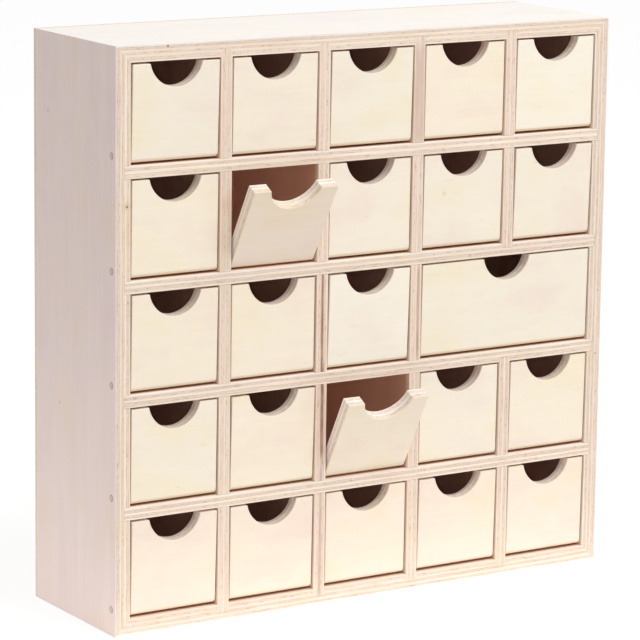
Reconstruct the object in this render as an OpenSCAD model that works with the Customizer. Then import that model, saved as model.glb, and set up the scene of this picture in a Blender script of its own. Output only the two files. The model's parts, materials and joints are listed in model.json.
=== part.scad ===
// Wooden advent calendar: a square plywood case with a lattice of compartments.
// Each compartment is closed by a flap that tilts out on a dowel near its lower edge.
// X runs to the right, Y runs from the front to the back and Z runs up.
// The origin is the middle of the face that the case stands on.

/* [Case] */
// Width over both sides
case_w = 320; // [280:1:400]
// Height over the top and bottom panels
case_h = 320; // [280:1:400]
// Depth of the panels, shelves and dividers, without the back panel
board_d = 90; // [70:1:140]
// Thickness of the four outer panels
panel_t = 9; // [8:0.5:12]
// Thickness of the back panel
back_t = 3; // [3:0.5:5]
// Depth of the grooves in the sides that hold the shelves
side_groove = 3.5; // [2:0.5:5]
// Depth of the grooves in the top and bottom panels that hold the dividers
end_groove = 4.5; // [2:0.5:5]

/* [Lattice] */
// Thickness of the shelves and dividers
board_t = 7; // [5:0.5:9]
// Depth of the grooves above and below the wide compartment
shelf_groove = 2.5; // [1:0.5:3]
// Clearance on each face of a glued joint
glue_gap = 0.05; // [0.02:0.01:0.1]

/* [Flaps] */
// Thickness of a flap
flap_t = 7; // [6:0.5:8]
// Clearance between an end of a flap and the board beside it
side_gap = 1.1; // [0.5:0.1:2]
// Clearance between a closed flap and the board above it
top_gap = 1; // [0.6:0.1:2]
// Clearance between a flap and the floor of its compartment
toe_gap = 1.3; // [0.5:0.1:2]
// Distance of a closed flap's face behind the front edges of the boards
face_set = 1; // [0:0.5:3]
// Radius of the rounded lower front edge of a flap
toe_r = 2.5; // [1:0.5:3.5]
// Diameter of the finger notch
notch_d = 32; // [20:1:36]
// Height of the notch's centre above the top edge of the flap
notch_rise = 3; // [0:0.5:5]

/* [Pivots] */
// Diameter of the pivot rods
rod_d = 4; // [3:0.5:5]
// Clearance all round a rod in the bore of a flap
rod_gap = 0.08; // [0.02:0.01:0.1]
// Height of a rod's axis above the floor of its row
pivot_h = 5.5; // [4.5:0.5:8]

/* [Back nails] */
// Diameter of a nail
nail_d = 1.2; // [0.8:0.1:1.8]
// Length of a nail
nail_l = 15; // [8:1:25]
// Diameter of a nail's head
nail_head_d = 2.6; // [2:0.1:3.6]
// Thickness of a nail's head
nail_head_t = 0.8; // [0.4:0.1:1.2]

/* [Hidden] */
$fn = 96;
// Length by which a cut runs past the faces that it opens
overrun = 1;

// Rows are counted from the top and columns from the left
rows = 5;
columns = 5;
// The wide compartment lies in the middle row and takes the last two columns
wide_row = ceil(rows / 2);
wide_column = columns - 1;
// How far each flap stands open in degrees, one line for each row
// The wide flap takes the fourth place of its row
resting = [
    [2, 1, 1.5, 0.5, 1],
    [1, 29.5, 0.5, 1, 2],
    [1.5, 0.5, 2, 1],
    [1, 2, 28.5, 0.5, 1],
    [2, 1, 0.5, 1.5, 1],
];

inner_w = case_w - 2 * panel_t;
inner_h = case_h - 2 * panel_t;
cell_w = (inner_w - (columns - 1) * board_t) / columns;
cell_h = (inner_h - (rows - 1) * board_t) / rows;
front_y = -(board_d + back_t) / 2;
lap_y = front_y + board_d / 2;
rear_y = front_y + board_d;
pivot_y = front_y + face_set + flap_t / 2;
// A flap's reach above and below its rod
flap_up = cell_h - top_gap - pivot_h;
flap_down = pivot_h - toe_gap;

// Left end of a column
function column_x(c) = -inner_w / 2 + (c - 1) * (cell_w + board_t);
// Floor of a row, which is also the top face of the shelf under it
function row_z(r) = panel_t + (rows - r) * (cell_h + board_t);
// Middle of the divider to the right of a column
function divider_x(d) = column_x(d) + cell_w + board_t / 2;
// Whether a divider runs through the shelf under a row
function crosses(d, s) = d != wide_column || (s != wide_row - 1 && s != wide_row);

// Row, column and number of columns of each flap
flaps = [
    for (r = [1:rows]) for (c = [1:columns])
        if (r != wide_row || c != wide_column + 1)
            [r, c, r == wide_row && c == wide_column ? 2 : 1]
];
function flap_name(f) = str("flap_r", f[0], f[2] == 1 ? str("_c", f[1]) : "_wide");

// Middle of each edge compartment on the centre line of the panel beside it
nail_places = [
    for (c = [1:columns]) for (z = [panel_t / 2, case_h - panel_t / 2])
        [column_x(c) + cell_w / 2, z],
    for (r = [1:rows]) for (side = [-1, 1])
        [side * (case_w - panel_t) / 2, row_z(r) + cell_h / 2],
];

// One rod with a clearance all round it
module rod(r, length, gap) {
    translate([0, pivot_y, row_z(r) + pivot_h])
        rotate([0, 90, 0])
            cylinder(d = rod_d + 2 * gap, h = length, center = true);
}

// The holes for all five rods through whatever board they are cut from
module rod_holes() {
    for (r = [1:rows])
        rod(r, case_w + 2 * overrun, glue_gap);
}

// A nail driven forward from the rear face of the back panel, with its head flush
module nail(gap, past) {
    translate([0, rear_y + back_t + past, 0])
        rotate([90, 0, 0]) {
            cylinder(d = nail_d + 2 * gap, h = past + nail_l + gap);
            cylinder(d = nail_head_d + 2 * gap, h = past + nail_head_t + gap);
        }
}

module nail_holes() {
    for (p = nail_places)
        translate([p[0], 0, p[1]]) nail(glue_gap, overrun);
}

// An outer panel lying on its outer face, with both ends mitred at 45 degrees
module mitred_panel(length) {
    translate([0, rear_y, 0])
        rotate([90, 0, 0])
            linear_extrude(board_d)
                polygon([
                    [-length / 2, 0],
                    [length / 2, 0],
                    [length / 2 - panel_t, panel_t],
                    [panel_t - length / 2, panel_t],
                ]);
}

// Side panel on the left, grooved for the shelves and drilled for the rods
module side_panel() {
    difference() {
        translate([-case_w / 2, 0, case_h / 2])
            rotate([0, 90, 0])
                mitred_panel(case_h);
        for (s = [1:rows - 1])
            translate([
                -inner_w / 2 - side_groove - glue_gap,
                front_y - overrun,
                row_z(s) - board_t - glue_gap,
            ])
                cube([side_groove + glue_gap + overrun, board_d + 2 * overrun, board_t + 2 * glue_gap]);
        rod_holes();
        nail_holes();
    }
}

module left_side() {
    color([0.84, 0.77, 0.74]) side_panel();
}

module right_side() {
    color([0.84, 0.77, 0.74]) mirror([1, 0, 0]) side_panel();
}

// Panel at the bottom, grooved for the dividers
module end_panel() {
    difference() {
        mitred_panel(case_w);
        for (d = [1:columns - 1])
            translate([
                divider_x(d) - board_t / 2 - glue_gap,
                front_y - overrun,
                panel_t - end_groove - glue_gap,
            ])
                cube([board_t + 2 * glue_gap, board_d + 2 * overrun, end_groove + glue_gap + overrun]);
        nail_holes();
    }
}

module bottom_panel() {
    color([0.9, 0.83, 0.77]) end_panel();
}

module top_panel() {
    color([0.96, 0.94, 0.91]) translate([0, 0, case_h]) mirror([0, 0, 1]) end_panel();
}

// Thin panel laid on the rear edges of the case and nailed there
module back_panel() {
    color([0.86, 0.79, 0.72])
        difference() {
            translate([-case_w / 2, rear_y, 0]) cube([case_w, back_t, case_h]);
            nail_holes();
        }
}

module back_nails() {
    color([0.7, 0.7, 0.72])
        for (p = nail_places)
            translate([p[0], 0, p[1]]) nail(0, 0);
}

// Groove from front to back for an end of the interrupted divider, cut upward from its floor
module divider_groove(floor_z) {
    slot = board_t + 2 * glue_gap;
    translate([divider_x(wide_column) - slot / 2, front_y - overrun, floor_z])
        cube([slot, board_d + 2 * overrun, board_t]);
}

// Shelf under a row, whole along its front edge and slotted from the rear for the dividers
module shelf(s) {
    slot = board_t + 2 * glue_gap;
    color([0.9, 0.83, 0.76])
        difference() {
            translate([-inner_w / 2 - side_groove, front_y, row_z(s) - board_t])
                cube([inner_w + 2 * side_groove, board_d, board_t]);
            for (d = [1:columns - 1])
                if (crosses(d, s))
                    translate([divider_x(d) - slot / 2, lap_y - glue_gap / 2, row_z(s) - board_t - overrun])
                        cube([slot, board_d, board_t + 2 * overrun]);
            if (s == wide_row - 1)
                divider_groove(row_z(s) - shelf_groove - glue_gap);
            if (s == wide_row)
                divider_groove(row_z(s) - 2 * board_t + shelf_groove + glue_gap);
        }
}

// Divider between two heights, slotted from the front for each shelf that it crosses
module divider(d, low, high) {
    slot = board_t + 2 * glue_gap;
    color([0.88, 0.8, 0.74])
        difference() {
            translate([divider_x(d) - board_t / 2, front_y, low]) cube([board_t, board_d, high - low]);
            for (s = [1:rows - 1])
                if (crosses(d, s))
                    translate([divider_x(d) - board_t, front_y - overrun, row_z(s) - board_t - glue_gap])
                        cube([2 * board_t, overrun + lap_y - front_y + glue_gap / 2, slot]);
            rod_holes();
        }
}

// Divider that runs from the bottom panel to the top panel
module full_divider(d) {
    divider(d, panel_t - end_groove, case_h - panel_t + end_groove);
}

// The two parts of the divider that the wide compartment interrupts
module divider_4_upper() {
    divider(wide_column, row_z(wide_row - 1) - shelf_groove, case_h - panel_t + end_groove);
}

module divider_4_lower() {
    divider(wide_column, panel_t - end_groove, row_z(wide_row) - board_t + shelf_groove);
}

module pivot_rod(r) {
    color([0.8, 0.68, 0.6]) rod(r, case_w, 0);
}

// Section of a flap through its rod, with the front to the left
module flap_section() {
    toe = min(toe_r, flap_t / 2, flap_down);
    translate([-flap_t / 2, toe - flap_down]) square([flap_t, flap_up + flap_down - toe]);
    translate([toe - flap_t / 2, -flap_down]) square([flap_t - toe, toe]);
    translate([toe - flap_t / 2, toe - flap_down]) circle(r = toe);
}

// Flap tilted open about its rod, with a round finger notch in its top edge
module flap(f) {
    width = f[2] * cell_w + (f[2] - 1) * board_t - 2 * side_gap;
    color([0.98, 0.94, 0.86])
        translate([column_x(f[1]) + side_gap + width / 2, pivot_y, row_z(f[0]) + pivot_h])
            rotate([resting[f[0] - 1][f[1] - 1], 0, 0])
                difference() {
                    rotate([90, 0, 90]) linear_extrude(width, center = true) flap_section();
                    rotate([0, 90, 0])
                        cylinder(d = rod_d + 2 * rod_gap, h = width + 2 * overrun, center = true);
                    translate([0, 0, flap_up + notch_rise])
                        rotate([90, 0, 0])
                            cylinder(d = notch_d, h = flap_t + 2 * overrun, center = true);
                }
}

left_side();
right_side();
top_panel();
bottom_panel();
back_panel();
for (s = [1:rows - 1])
    shelf(s);
for (d = [1:wide_column - 1])
    full_divider(d);
divider_4_upper();
divider_4_lower();
for (r = [1:rows])
    pivot_rod(r);
for (f = flaps)
    flap(f);
back_nails();
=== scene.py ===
"""Looks of a plywood advent calendar: a mitred case, a lattice of boards and 24 tilting flaps."""

import json
import math
import random
from types import SimpleNamespace

import bpy
from mathutils import Euler, Matrix, Vector


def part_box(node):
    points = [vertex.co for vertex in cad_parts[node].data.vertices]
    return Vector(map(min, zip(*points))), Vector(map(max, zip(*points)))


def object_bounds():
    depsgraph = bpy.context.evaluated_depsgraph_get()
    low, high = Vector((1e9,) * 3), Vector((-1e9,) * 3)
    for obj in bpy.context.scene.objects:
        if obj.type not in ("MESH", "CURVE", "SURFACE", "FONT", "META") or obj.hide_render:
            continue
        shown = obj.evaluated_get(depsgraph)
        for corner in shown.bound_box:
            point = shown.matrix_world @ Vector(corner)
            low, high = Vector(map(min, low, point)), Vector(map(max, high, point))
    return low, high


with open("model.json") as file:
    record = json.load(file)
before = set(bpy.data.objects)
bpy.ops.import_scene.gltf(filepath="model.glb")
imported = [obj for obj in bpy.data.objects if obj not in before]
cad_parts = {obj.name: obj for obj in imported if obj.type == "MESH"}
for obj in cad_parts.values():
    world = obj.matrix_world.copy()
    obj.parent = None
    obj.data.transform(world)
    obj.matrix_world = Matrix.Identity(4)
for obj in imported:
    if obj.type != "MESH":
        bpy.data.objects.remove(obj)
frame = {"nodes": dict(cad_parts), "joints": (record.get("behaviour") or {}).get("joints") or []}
cad_low, cad_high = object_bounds()
nodes = frame["nodes"]

# Sides of the case
# Two upright panels of 9 mm poplar plywood, seven plies thick, grain upright, mitred at both ends.
# The edges are eased with fine paper. The wood is bare outside, and inside it has brown painted
# shade, darker near the front.
X, Y, Z = 0, 1, 2
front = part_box("left_side")[0].y
left_face, right_face = cad_low.x, cad_high.x
case_plies = 7
case_arris = 0.0004
side_veneer = (0.86, 0.73, 0.69)
case_core = ((0.96, 0.835, 0.71), (0.86, 0.73, 0.61))
noise_low, noise_high = 0.3, 0.7


def shader_node(tree, kind, sockets, **settings):
    """One node of a material. Each socket is linked, or set where a plain value is given."""
    made = tree.nodes.new("ShaderNode" + kind)
    for key, value in settings.items():
        setattr(made, key, value)
    for key, value in sockets.items():
        if isinstance(value, bpy.types.NodeSocket):
            tree.links.new(value, made.inputs[key])
        else:
            made.inputs[key].default_value = value
    return made


def layered(tree, share, under, over, blend="MIX"):
    """One colour laid over another. The colour sockets of a mix node are 6 and 7, and 2 behind."""
    mix = tree.nodes.new("ShaderNodeMix")
    mix.data_type = "RGBA"
    mix.blend_type = blend
    for index, value in ((0, share), (6, under), (7, over)):
        if isinstance(value, bpy.types.NodeSocket):
            tree.links.new(value, mix.inputs[index])
        else:
            mix.inputs[index].default_value = value if index == 0 else (*value, 1)
    return mix.outputs[2]


def sum_of(tree, operation, first, second=0):
    """The answer of one sum on two values."""
    return shader_node(tree, "Math", {0: first, 1: second}, operation=operation).outputs[0]


def off_line(tree, value, line):
    """How far a value lies from a line, on either side of it."""
    return sum_of(tree, "ABSOLUTE", sum_of(tree, "SUBTRACT", value, line))


def spread(tree, value, start, end, low, high, smooth=False):
    """A value from start to end, stretched to run from low to high."""
    kind = "SMOOTHSTEP" if smooth else "LINEAR"
    sockets = {"Value": value, "From Min": start, "From Max": end, "To Min": low, "To Max": high}
    return shader_node(tree, "MapRange", sockets, interpolation_type=kind).outputs["Result"]


def mask(tree, value, start, full, most=1, smooth=False):
    """Nothing where the value is at start, and the most where it is at full."""
    return spread(tree, value, start, full, 0, most, smooth)


def varied(tree, noise, low, high):
    """Noise turned into a factor between low and high."""
    return spread(tree, noise, noise_low, noise_high, low, high)


def streaks(tree, place, along, length, width, shift, detail=4):
    """Noise drawn out along one axis, as wood fibres are; length and width in metres."""
    scale = [1 / width] * 3
    scale[along] = 1 / length
    sockets = {"Vector": place, "Scale": scale, "Location": (shift, -shift, 2 * shift)}
    drawn = shader_node(tree, "Mapping", sockets).outputs["Vector"]
    sockets = {"Vector": drawn, "Scale": 1, "Detail": detail, "Roughness": 0.6}
    return shader_node(tree, "TexNoise", sockets).outputs["Fac"]


def marks(wood, length, width, offset=0, detail=4, across=False):
    """Streaks of one kind of mark in a board, along its grain or across it."""
    axis = wood.across if across else wood.grain
    return streaks(wood.tree, wood.place, axis, length, width, wood.shift + offset, detail)


def lay(wood, share, tone, blend="MIX"):
    """One more layer of colour on a board."""
    wood.colour = layered(wood.tree, share, wood.colour, tone, blend)


ply_blur = 0.012  # share of the thickness, on each side of a joint, where two plies run together


def banded(tree, depth, bands, constant=False):
    """Colours in bands through the thickness, each band as its end share and its colour."""
    ramp = shader_node(tree, "ValToRGB", {"Fac": depth})
    scale = ramp.color_ramp
    scale.interpolation = "CONSTANT" if constant else "LINEAR"
    start = 0
    for end, colour in bands:
        for share in (start,) if constant else (start + ply_blur, end - ply_blur):
            stop = scale.elements.new(share)
            stop.color = (*colour, 1)
        start = end
    scale.elements.remove(scale.elements[0])
    scale.elements.remove(scale.elements[-1])
    return ramp.outputs["Color"]


# How thick and how light a ply is beside the others, and how dark the glue shows
ply_weights, face_weight = (0.8, 1.3), 0.75
ply_shades = (0.96, 1.03)
glue_shares = (0.25, 0.8)


def ply_bands(count, veneer, core, glue, shades):
    """The plies from the outer face inward: their tones, their runs and the glue between."""
    tones, runs, lines = [], [], []
    thick = [shades.uniform(*ply_weights) for ply in range(count)]
    thick[0] = thick[-1] = face_weight
    for ply in range(count):
        across = ply % 2 == 1
        shade = shades.uniform(*ply_shades)
        tone = core[1] if across else core[0]
        if ply == 0:
            tone, shade = veneer, 1
        end = 1 if ply == count - 1 else sum(thick[:ply + 1]) / sum(thick)
        tones.append((end, tuple(shade * c for c in tone)))
        runs.append((end, (float(across),) * 3))
        lines.append((end - glue if end < 1 else 1, (0, 0, 0)))
        if end < 1:
            lines.append((end + glue, (shades.uniform(*glue_shares),) * 3))
    return tones, runs, lines


glue_line = (0.60, 0.43, 0.34)


def lay_plies(wood, bands, dash):
    """The plies and the broken glue lines between them, all slightly wavy along the board."""
    tones, runs, lines = bands
    wave = varied(wood.tree, marks(wood, length=0.06, width=0.02, detail=1), -0.012, 0.012)
    wood.wavy = sum_of(wood.tree, "ADD", wood.depth, wave)
    wood.colour = banded(wood.tree, wood.wavy, tones)
    wood.crosswise = banded(wood.tree, wood.wavy, runs, constant=True)
    gaps = marks(wood, length=dash, width=0.002, offset=23, detail=2)
    wood.broken = spread(wood.tree, gaps, 0.38, 0.62, 0.1, 1)
    glued = sum_of(wood.tree, "MULTIPLY", banded(wood.tree, wood.wavy, lines), wood.broken)
    lay(wood, glued, glue_line)


pore_tint = (0.80, 0.66, 0.58)


def lay_fibres(wood, figure):
    """Fibres along each ply, and pores where a ply shows its end grain."""
    along = marks(wood, length=0.05, width=0.0008)
    across = marks(wood, length=0.05, width=0.0008, across=True)
    wood.fibre = layered(wood.tree, wood.crosswise, along, across)
    wood.in_edge = mask(wood.tree, off_line(wood.tree, wood.depth, 0.5), 0.495, 0.47)
    on_face = varied(wood.tree, wood.fibre, 1 - figure, 1 + figure)
    on_edge = varied(wood.tree, wood.fibre, 0.955, 1.03)
    lay(wood, 1, layered(wood.tree, wood.in_edge, on_face, on_edge), "MULTIPLY")
    pores = marks(wood, length=0.0016, width=0.0007, offset=3, detail=2, across=True)
    wood.pored = sum_of(wood.tree, "MULTIPLY", mask(wood.tree, pores, 0.60, 0.72), wood.crosswise)
    lay(wood, wood.pored, pore_tint, "MULTIPLY")


strip_tint = (0.955, 0.92, 0.89)
fleck_brown = (0.48, 0.36, 0.30)


def lay_edge_marks(wood):
    """Greyer strips and short dark flecks in the edges."""
    strips = marks(wood, length=0.03, width=0.0011, offset=29, detail=2)
    strips = sum_of(wood.tree, "MULTIPLY", mask(wood.tree, strips, 0.58, 0.40), wood.in_edge)
    lay(wood, strips, strip_tint, "MULTIPLY")
    flecks = marks(wood, length=0.0035, width=0.0006, offset=31, detail=1)
    flecks = mask(wood.tree, flecks, 0.60, 0.70, most=0.6)
    lay(wood, sum_of(wood.tree, "MULTIPLY", flecks, wood.crosswise), fleck_brown)


seam_fade = 0.012  # how far a seam fades out past its ends


def lay_seams(wood, seams):
    """Dark seams in the core, each between two heights."""
    height = wood.axes.outputs[Z]
    for share, half_width, tone, foot, head in seams:
        off_seam = off_line(wood.tree, wood.wavy, share)
        seam = mask(wood.tree, off_seam, half_width, half_width / 2, smooth=True)
        for factor in (spread(wood.tree, wood.broken, 0.1, 1, 0.7, 1),
                       mask(wood.tree, height, foot - seam_fade, foot, smooth=True),
                       mask(wood.tree, height, head + seam_fade, head, smooth=True)):
            seam = sum_of(wood.tree, "MULTIPLY", seam, factor)
        lay(wood, seam, tone)


cloud_tints = ((0.7, (0.995, 0.98, 0.925)), (0.3, (0.985, 0.955, 0.965)))
sap_brown = (0.62, 0.45, 0.34)


def lay_figure(wood, figure, clouds):
    """Broad figure of the peeled veneer, warm and cool patches, and short dark dashes of sap."""
    grown = marks(wood, length=0.11, width=0.011, offset=7, detail=3)
    lay(wood, 1, varied(wood.tree, grown, 1 - figure, 1 + figure / 2), "MULTIPLY")
    wood.patches = marks(wood, length=0.055, width=0.035, offset=11, detail=4)
    for end, tint in cloud_tints:
        tint = tuple(1 - clouds * (1 - c) for c in tint)
        lay(wood, mask(wood.tree, wood.patches, 0.5, end), tint, "MULTIPLY")
    dashes = marks(wood, length=0.009, width=0.0009, offset=17, detail=1)
    lay(wood, mask(wood.tree, dashes, 0.74, 0.82, most=0.35), sap_brown)


halo_brown = (0.74, 0.52, 0.36)


def lay_flaws(wood, flaws):
    """Pin knots, smudges and open gaps in the core, each with a stained ring round it."""
    for centre, radius, halo, tone in flaws:
        sockets = {0: wood.place, 1: centre}
        away = shader_node(wood.tree, "VectorMath", sockets, operation="DISTANCE")
        uneven = varied(wood.tree, wood.fibre, 0.8, 1.25)
        ragged = sum_of(wood.tree, "MULTIPLY", away.outputs["Value"], uneven)
        lay(wood, mask(wood.tree, ragged, halo, radius, most=0.5, smooth=True), halo_brown)
        lay(wood, mask(wood.tree, ragged, radius, radius * 0.6, smooth=True), tone)


# Where the painted shade inside begins and is full, its tones near the front and deep inside, and
# the run between. The lighter deep tone is painted light against the falloff of light inside.
painted_shade_start, painted_shade_full = front + 0.0015, front + 0.0045
painted_shade_near, painted_shade_deep, painted_shade_run = (0.77, 0.475, 0.34), (0.96, 0.69, 0.58), 0.045


def lay_painted_shade(wood, start, full, shown, near, deep):
    """Brown painted shade from start inward, darker near the front and lighter deep inside, on
    plies past the shown share.
    """
    inward = wood.axes.outputs[Y]
    shaded_share = mask(wood.tree, inward, start, full, smooth=True)
    if shown < 1:
        inner = mask(wood.tree, wood.depth, shown, 1 - (1 - shown) / 2)
        shaded_share = sum_of(wood.tree, "MULTIPLY", shaded_share, inner)
    deeper = mask(wood.tree, inward, painted_shade_full, painted_shade_full + painted_shade_run, smooth=True)
    brown = layered(wood.tree, deeper, near, deep)
    brown = layered(wood.tree, 1, brown, varied(wood.tree, wood.patches, 1, 1.1), "MULTIPLY")
    brown = layered(wood.tree, 1, brown, varied(wood.tree, wood.fibre, 0.96, 1.04), "MULTIPLY")
    lay(wood, shaded_share, brown)


def plywood(name, outside, inside, through, grain, count, veneer, core, seed, painted_shade=None,
            turned=None, flaws=(), figure=0.03, clouds=1, dash=0.016, glue=0.02,
            seams=(), sanded_and_shaded=None):
    """Plywood whose plies lie through one axis, from the outside face to the inside face.

    A flap's wood is turned with it: about its pivot, by its lean. The painted shade inside, flaws,
    seams and the toe strip (partly a ply bared by sanding, partly painted shade) say what else
    shows on the board, and dash and glue how its glue lines look.
    """
    shades = random.Random(seed)
    material = bpy.data.materials.new(name)
    material.use_nodes = True
    tree = material.node_tree
    surface = tree.nodes["Principled BSDF"]
    place = shader_node(tree, "TexCoord", {}).outputs["Object"]
    if turned:
        pivot, lean = turned
        turn = Euler((-lean, 0, 0))
        back = Vector(pivot) - turn.to_matrix() @ Vector(pivot)
        sockets = {"Vector": place, "Location": back, "Rotation": turn}
        place = shader_node(tree, "Mapping", sockets).outputs["Vector"]
    wood = SimpleNamespace(tree=tree, place=place, grain=grain, across=3 - through - grain)
    wood.axes = shader_node(tree, "SeparateXYZ", {"Vector": place})
    wood.depth = mask(tree, wood.axes.outputs[through], outside, inside)
    wood.shift = shades.uniform(0, 50)

    lay_plies(wood, ply_bands(count, veneer, core, glue, shades), dash)
    lay_fibres(wood, figure)
    lay_edge_marks(wood)
    lay_seams(wood, seams)
    # The toe strip: partly the next ply where sanding has gone through, partly painted shade on
    # the rounded edge
    if sanded_and_shaded:
        start, full, toe_tone = sanded_and_shaded
        lay(wood, mask(tree, wood.axes.outputs[Z], start, full, most=0.9, smooth=True), toe_tone)
    lay_figure(wood, figure, clouds)
    lay_flaws(wood, flaws)
    # The brown on the inner faces is painted shade, darker near the front and lighter deep inside
    if painted_shade:
        lay_painted_shade(wood, *painted_shade)

    tree.links.new(wood.colour, surface.inputs["Base Color"])
    tree.links.new(varied(tree, wood.fibre, 0.74, 0.60), surface.inputs["Roughness"])
    surface.inputs["Specular IOR Level"].default_value = 0.35
    height = sum_of(tree, "SUBTRACT", wood.fibre, wood.pored)
    bump = shader_node(tree, "Bump", {"Strength": 0.35, "Distance": 0.00012, "Height": height})
    tree.links.new(bump.outputs["Normal"], surface.inputs["Normal"])
    return material


def ease_edges(board, arris):
    """Sharp edges rubbed down a little, as with fine paper on a block."""
    weld = board.modifiers.new("weld", "WELD")
    weld.merge_threshold = 0.00001
    flat = board.modifiers.new("flat", "DECIMATE")
    flat.decimate_type = "DISSOLVE"
    flat.angle_limit = math.radians(0.2)
    rub = board.modifiers.new("rub", "BEVEL")
    rub.width = arris
    rub.segments = 2
    rub.limit_method = "ANGLE"
    rub.angle_limit = math.radians(35)
    rub.harden_normals = False
    shade = board.modifiers.new("shade", "WEIGHTED_NORMAL")
    shade.keep_sharp = True


def finish_board(node, material, arris):
    """A board's own plywood and its eased edges."""
    board = nodes[node]
    board.data.materials.clear()
    board.data.materials.append(material)
    ease_edges(board, arris)


# The brown inside the case is painted shade
case_painted_shade = (painted_shade_start, painted_shade_full, 0.97, painted_shade_near, painted_shade_deep)
knot_brown = (0.68, 0.54, 0.48)
gap_dark = (0.30, 0.20, 0.14)
# Centre, radius, reach of the stained ring and colour of each knot and core gap
side_flaws = {
    "left_side": [
        ((left_face, front + 0.0766, 0.277), 0.0009, 0.0012, knot_brown),
        ((left_face, front + 0.0633, 0.1173), 0.0008, 0.0011, knot_brown),
        ((left_face + 0.0068, front, 0.2346), 0.0008, 0.0036, gap_dark),
    ],
    "right_side": [
        ((right_face - 0.0031, front, 0.1239), 0.0005, 0.0010, gap_dark),
        ((right_face - 0.0022, front, 0.1612), 0.0004, 0.0008, gap_dark),
    ],
}
for seed, (node, flaws) in enumerate(side_flaws.items()):
    low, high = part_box(node)
    outside, inside = (low.x, high.x) if node == "left_side" else (high.x, low.x)
    wood = plywood(node + "_plywood", outside, inside, X, Z, case_plies, side_veneer, case_core,
                   11 + seed, painted_shade=case_painted_shade, flaws=flaws, figure=0.028, clouds=1.3)
    finish_board(node, wood, case_arris)

# Top and bottom of the case
# The same 9 mm plywood with the face grain from side to side, mitred to the sides and glued.
# Their veneer is paler and whiter than the other boards': painted light for the brightly lit top
end_veneer_painted_light = (0.94, 0.90, 0.86)
bottom_core = ((0.935, 0.80, 0.69), (0.84, 0.70, 0.60))
top_flaws = [((left_face + 0.0312, front, cad_high.z - 0.0014), 0.0007, 0.0014, gap_dark)]
low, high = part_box("top_panel")
wood = plywood("top_panel_plywood", high.z, low.z, Z, X, case_plies, end_veneer_painted_light, case_core, 21,
               painted_shade=case_painted_shade, flaws=top_flaws, figure=0.015)
finish_board("top_panel", wood, case_arris)
low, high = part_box("bottom_panel")
wood = plywood("bottom_panel_plywood", low.z, high.z, Z, X, case_plies, end_veneer_painted_light, bottom_core,
               22, painted_shade=case_painted_shade, figure=0.015)
finish_board("bottom_panel", wood, case_arris)

# Back of the case
# One sheet of 3 mm plywood, three plies thick, laid on the rear edges and pinned there.
# Only its inner face has the brown painted shade.
back_plies = 3
back_arris = 0.0003
back_veneer = (0.80, 0.72, 0.66)
painted_shade_skin = 0.0001
low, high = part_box("back_panel")
back_painted_shade = (low.y + 2 * painted_shade_skin, low.y + painted_shade_skin, 1, painted_shade_near, painted_shade_deep)
wood = plywood("back_panel_plywood", high.y, low.y, Y, X, back_plies, back_veneer, case_core, 31,
               painted_shade=back_painted_shade, figure=0.045)
finish_board("back_panel", wood, back_arris)

# Shelves
# Four 7 mm boards of five plies, whole along the front and slotted from the rear for the dividers.
# Their ends sit in grooves in the sides.
lattice_plies = 5
lattice_arris = 0.0003
lattice_veneer = (0.98, 0.89, 0.79)
lattice_core = ((0.98, 0.86, 0.73), (0.86, 0.73, 0.61))
# The shelves and dividers get the same brown painted shade inside
lattice_painted_shade = (painted_shade_start, painted_shade_full, 1, painted_shade_near, painted_shade_deep)
for number in range(1, 5):
    node = f"shelf_{number}"
    low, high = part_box(node)
    wood = plywood(node + "_plywood", high.z, low.z, Z, X, lattice_plies, lattice_veneer,
                   lattice_core, 40 + number, painted_shade=lattice_painted_shade)
    finish_board(node, wood, lattice_arris)

# Dividers
# The upright 7 mm boards, slotted from the front over the shelves.
# The fourth is in two parts, above and below the wide compartment.
# The dividers' veneer is warm and brownish: partly its own tone, partly painted shade for the
# narrow gaps beside the flaps
divider_veneer_and_gap_shade = (0.94, 0.775, 0.64)
divider_core = ((0.93, 0.80, 0.68), (0.86, 0.725, 0.61))
# Share of the thickness, half width as a share, colour, lower and upper end of each dark seam
seams_of = {
    "divider_2": [
        (0.51, 0.13, (0.33, 0.16, 0.09), 0.133, 0.186),
        (0.59, 0.18, (0.31, 0.135, 0.075), 0.090, 0.131),
        (0.53, 0.15, (0.60, 0.43, 0.36), 0.010, 0.074),
    ],
    "divider_3": [
        (0.71, 0.15, (0.56, 0.38, 0.30), 0.140, 0.180),
        (0.50, 0.60, (0.70, 0.53, 0.45), 0.262, 0.305),
    ],
}
# A darker brown patch on the first divider's front edge, beside the open flap of the second row
dark_patch_place = (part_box("divider_1")[0].x + 0.0052, front, 0.231)
dark_patches_of = {"divider_1": [(dark_patch_place, 0.0003, 0.0085, (0.55, 0.36, 0.27))]}
dividers = ("divider_1", "divider_2", "divider_3", "divider_4_upper", "divider_4_lower")
for seed, node in enumerate(dividers):
    low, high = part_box(node)
    wood = plywood(node + "_plywood", low.x, high.x, X, Z, lattice_plies, divider_veneer_and_gap_shade,
                   divider_core, 50 + seed, painted_shade=lattice_painted_shade, flaws=dark_patches_of.get(node, ()),
                   seams=seams_of.get(node, ()))
    finish_board(node, wood, lattice_arris)
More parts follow.
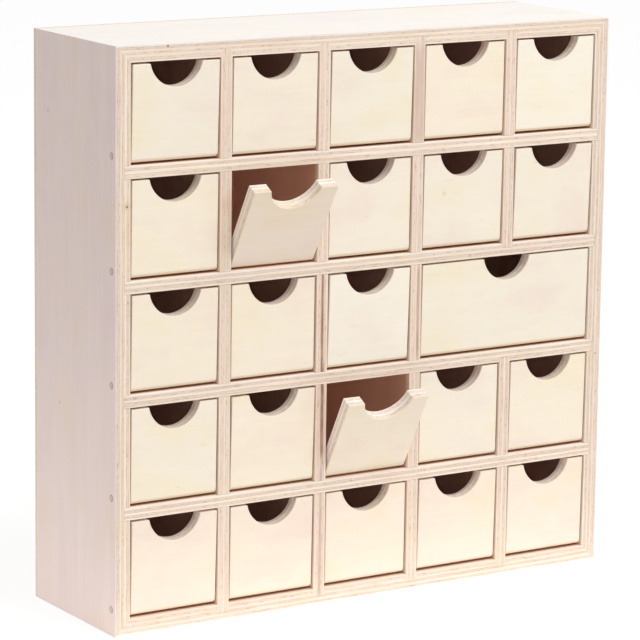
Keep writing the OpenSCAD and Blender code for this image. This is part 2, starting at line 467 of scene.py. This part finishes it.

# Pivot rods
# A 4 mm dowel for each row runs through both sides, and its sawn ends show there.
# The bare side, the sawn heart and the dark rim, a painted shadow of the gap round the dowel in
# its bore, which starts and is full at shares of the radius
rod_side, dark_fibre = (0.80, 0.66, 0.56), 0.88
rod_heart, dark_pore = (0.68, 0.55, 0.49), 0.85
rod_rim_shadow, rim_shadow_start, rim_shadow_full = (0.20, 0.12, 0.11), 0.70, 0.97
rod_skin = 0.0005  # how far the sawn look reaches in from the ends
for row in range(1, 6):
    node = f"pivot_rod_{row}"
    low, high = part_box(node)
    centre, radius = (low + high) / 2, (high.z - low.z) / 2
    dowel = bpy.data.materials.new(node + "_dowel")
    dowel.use_nodes = True
    tree = dowel.node_tree
    surface = tree.nodes["Principled BSDF"]
    place = shader_node(tree, "TexCoord", {}).outputs["Object"]
    fibre = streaks(tree, place, X, 0.03, 0.0005, row)
    darker = tuple(dark_fibre * c for c in rod_side)
    colour = layered(tree, mask(tree, fibre, 0.35, 0.65), rod_side, darker)

    # The sawn end, with a painted shadow round its rim, darkest toward the front
    end_grain = streaks(tree, place, X, 0.0004, 0.0004, row + 5, 2)
    darker = tuple(dark_pore * c for c in rod_heart)
    sawn = layered(tree, mask(tree, end_grain, 0.35, 0.7), rod_heart, darker)
    sockets = {0: place, 1: (0, centre.y, centre.z)}
    off_axis = shader_node(tree, "VectorMath", sockets, operation="SUBTRACT").outputs[0]
    sockets = {0: off_axis, 1: (0, 1, 1)}
    flat = shader_node(tree, "VectorMath", sockets, operation="MULTIPLY").outputs[0]
    out = shader_node(tree, "VectorMath", {0: flat}, operation="LENGTH").outputs["Value"]
    rim_shadow = mask(tree, out, rim_shadow_start * radius, rim_shadow_full * radius, smooth=True)
    toward_front = shader_node(tree, "SeparateXYZ", {"Vector": off_axis}).outputs[Y]
    toward_front = spread(tree, toward_front, 0.6 * radius, -0.6 * radius, 0.15, 0.9)
    sawn = layered(tree, sum_of(tree, "MULTIPLY", rim_shadow, toward_front), sawn, rod_rim_shadow)
    run = shader_node(tree, "SeparateXYZ", {"Vector": place}).outputs[X]
    at_end = mask(tree, sum_of(tree, "ABSOLUTE", run), high.x - rod_skin, high.x - rod_skin / 5)
    colour = layered(tree, at_end, colour, sawn)
    tree.links.new(colour, surface.inputs["Base Color"])
    tree.links.new(varied(tree, fibre, 0.6, 0.75), surface.inputs["Roughness"])
    bump = shader_node(tree, "Bump", {"Strength": 0.3, "Distance": 0.0001, "Height": fibre})
    tree.links.new(bump.outputs["Normal"], surface.inputs["Normal"])
    rod = nodes[node]
    rod.data.materials.clear()
    rod.data.materials.append(dowel)

# Flaps
# Each is 7 mm plywood with level grain, drilled for its dowel, with a round finger notch.
# The lower front edge is rounded off so that it can swing. Its strip is partly the next ply, where
# sanding has gone through, and partly painted shade on the round.
flap_thickness = 0.007
flap_arris = 0.0004
flap_veneer = (0.95, 0.865, 0.725)
flap_core = ((0.98, 0.93, 0.87), (0.88, 0.80, 0.73))
# Brown of the flaps' rear faces: painted shade, like the inside of the compartments
flap_back_painted_shade = (0.82, 0.68, 0.54)
pale_veneer, warm_veneer = (0.97, 0.905, 0.785), (0.945, 0.825, 0.70)
# The two open flaps, r2_c2 and r4_c3, get darker, pinker veneer: partly their own tone, partly
# painted shade on their faces tilted down
veneer_of = {"flap_r2_c2": (0.905, 0.785, 0.67), "flap_r4_c3": (0.915, 0.82, 0.68)}
veneer_of.update({node: pale_veneer for node in ("flap_r1_c5", "flap_r3_c3")})
veneer_of.update({f"flap_r5_c{column}": warm_veneer for column in range(1, 6)})
# Place on the face, radius, reach of the stained ring and colour of each smudge
smudges_of = {"flap_r2_c4": [(0.0492, 0.2264, (0.0013, 0.0014, (0.84, 0.74, 0.60)))]}
# How far the lower edge lies below the dowel's middle, and the height and colour of its strip,
# where sanding shows the next ply and shade is painted
toe_below, toe_height, toe_tan_and_shade = 0.0042, 0.0019, (0.89, 0.73, 0.55)
hinges = {joint["child"]: joint for joint in frame["joints"]}
for seed, (node, hinge) in enumerate(sorted(hinges.items())):
    lean = math.radians(-hinge["range_deg"][0])
    pivot = Vector(hinge["pos_m"])
    face, rear = pivot.y - flap_thickness / 2, pivot.y + flap_thickness / 2
    toe = pivot.z - toe_below
    warm = random.Random(100 + seed).uniform(-0.012, 0.012)
    veneer = veneer_of.get(node, (flap_veneer[0] + warm, flap_veneer[1], flap_veneer[2] - warm))
    smudges = [((x, face, z), *smudge) for x, z, smudge in smudges_of.get(node, ())]
    # The rear face gets the brown painted shade
    flap_painted_shade = (rear - 2 * painted_shade_skin, rear - painted_shade_skin, 1, flap_back_painted_shade, flap_back_painted_shade)
    wood = plywood(node + "_plywood", face, rear, Y, X, lattice_plies, veneer, flap_core,
                   60 + seed, painted_shade=flap_painted_shade, turned=(pivot, lean), flaws=smudges,
                   figure=0.013, clouds=1.7, dash=0.003, glue=0.036,
                   sanded_and_shaded=(toe + toe_height, toe + 0.75 * toe_height, toe_tan_and_shade))
    finish_board(node, wood, flap_arris)

# Back nails
# Twenty wire nails with flat heads hold the back, driven until the heads are level with it.
bright_steel, dull_steel = (0.62, 0.62, 0.64), (0.46, 0.46, 0.48)
nail_steel = bpy.data.materials.new("nail_steel")
nail_steel.use_nodes = True
tree = nail_steel.node_tree
surface = tree.nodes["Principled BSDF"]
place = shader_node(tree, "TexCoord", {}).outputs["Object"]
rubbed = streaks(tree, place, Z, 0.002, 0.0004, 2)
colour = layered(tree, varied(tree, rubbed, 0, 1), bright_steel, dull_steel)
tree.links.new(colour, surface.inputs["Base Color"])
tree.links.new(varied(tree, rubbed, 0.3, 0.5), surface.inputs["Roughness"])
surface.inputs["Metallic"].default_value = 1
nails = nodes["back_nails"]
nails.data.materials.clear()
nails.data.materials.append(nail_steel)

# Floor
# A white table top. The camera sees it near white and it keeps the soft shadow of the case.
floor_half = 6
floor_below = 0.0002
paper_greys = ((0.82, 0.82, 0.82), (0.84, 0.84, 0.84))
paper_shaded, paper_glow = (0.30, 0.30, 0.30, 1), 0.79


def seen_rays(tree):
    """1 where a surface is seen straight on, in gloss or through glass, and 0 elsewhere."""
    path = shader_node(tree, "LightPath", {}).outputs
    seen = sum_of(tree, "MAXIMUM", path["Is Camera Ray"], path["Is Glossy Ray"])
    return sum_of(tree, "MAXIMUM", seen, path["Is Transmission Ray"])


bpy.ops.mesh.primitive_plane_add(size=2 * floor_half, location=(0, 0, -floor_below))
floor = bpy.context.object
floor.name = "floor"
paper = bpy.data.materials.new("floor")
paper.use_nodes = True
tree = paper.node_tree
tree.nodes.remove(tree.nodes["Principled BSDF"])
tooth = shader_node(tree, "TexNoise", {"Scale": 40, "Detail": 3}).outputs["Fac"]
tint = layered(tree, varied(tree, tooth, 0, 1), *paper_greys)
bounced = shader_node(tree, "BsdfDiffuse", {"Color": tint})
shaded = shader_node(tree, "BsdfDiffuse", {"Color": paper_shaded})
glow = shader_node(tree, "Emission", {"Color": (1, 1, 1, 1), "Strength": paper_glow})
seen = shader_node(tree, "AddShader", {0: shaded.outputs[0], 1: glow.outputs[0]})
sockets = {0: seen_rays(tree), 1: bounced.outputs[0], 2: seen.outputs[0]}
both = shader_node(tree, "MixShader", sockets)
tree.links.new(both.outputs[0], tree.nodes["Material Output"].inputs["Surface"])
floor.data.materials.append(paper)

# Light
# A pale surround, and one large soft box in front, above and to the right.
# A pale card that lies on the table round the case throws a little light up at it.
surround = bpy.data.worlds.new("surround")
surround.use_nodes = True
bpy.context.scene.world = surround
tree = surround.node_tree
tree.nodes.clear()
lit = shader_node(tree, "Background", {"Color": (1, 0.99, 0.985, 1), "Strength": 0.6})
white = shader_node(tree, "Background", {"Color": (1, 1, 1, 1), "Strength": 1})
sockets = {0: seen_rays(tree), 1: lit.outputs[0], 2: white.outputs[0]}
both = shader_node(tree, "MixShader", sockets)
shader_node(tree, "OutputWorld", {"Surface": both.outputs[0]})

soft_box = bpy.data.lights.new("soft_box", "AREA")
soft_box.shape = "SQUARE"
soft_box.size = 1.3
soft_box.energy = 26
soft_box.color = (1, 0.985, 0.96)
lamp = bpy.data.objects.new("soft_box", soft_box)
bpy.context.scene.collection.objects.link(lamp)
lamp_toward, lamp_away = Vector((0.25, -0.52, 0.84)).normalized(), 2.2
lamp.location = (cad_low + cad_high) / 2 + lamp_away * lamp_toward
lamp.rotation_euler = (-lamp_toward).to_track_quat("-Z", "Y").to_euler()

reflector = bpy.data.lights.new("reflector", "AREA")
reflector.shape = "RECTANGLE"
reflector.size = 0.72
reflector.size_y = 0.315
reflector.energy = 0.46
reflector.color = (1, 0.97, 0.93)
card = bpy.data.objects.new("reflector", reflector)
bpy.context.scene.collection.objects.link(card)
card.location = (0, 0.0575, -floor_below / 2)
card.rotation_euler = (math.pi, 0, 0)
card.visible_camera = False
card.visible_glossy = False

# Camera
# A long lens a little above the case, to the left of its front. The small shift frames it.
picture = 640
lens_pixels = 3378.7
middle_x, middle_y = 376, 264
turn, height, roll = math.radians(33.041), math.radians(10.566), math.radians(0.886)
aim, away = Vector((0.0039, front, 0.1902)), 1.8726
camera_data = bpy.data.cameras.new("camera")
camera_data.sensor_width = 36
camera_data.lens = lens_pixels / picture * camera_data.sensor_width
camera_data.shift_x = (picture / 2 - middle_x) / picture
camera_data.shift_y = (middle_y - picture / 2) / picture
camera = bpy.data.objects.new("camera", camera_data)
bpy.context.scene.collection.objects.link(camera)
reach = math.cos(height)
ahead = Vector((math.sin(turn) * reach, math.cos(turn) * reach, -math.sin(height)))
level = Vector((math.cos(turn), -math.sin(turn), 0))
upright = level.cross(ahead)
right = math.cos(roll) * level + math.sin(roll) * upright
up = math.cos(roll) * upright - math.sin(roll) * level
facing = Matrix((right, up, -ahead)).transposed().to_4x4()
camera.matrix_world = Matrix.Translation(aim - away * ahead) @ facing
bpy.context.scene.camera = camera

bpy.context.scene.view_settings.view_transform = "Standard"
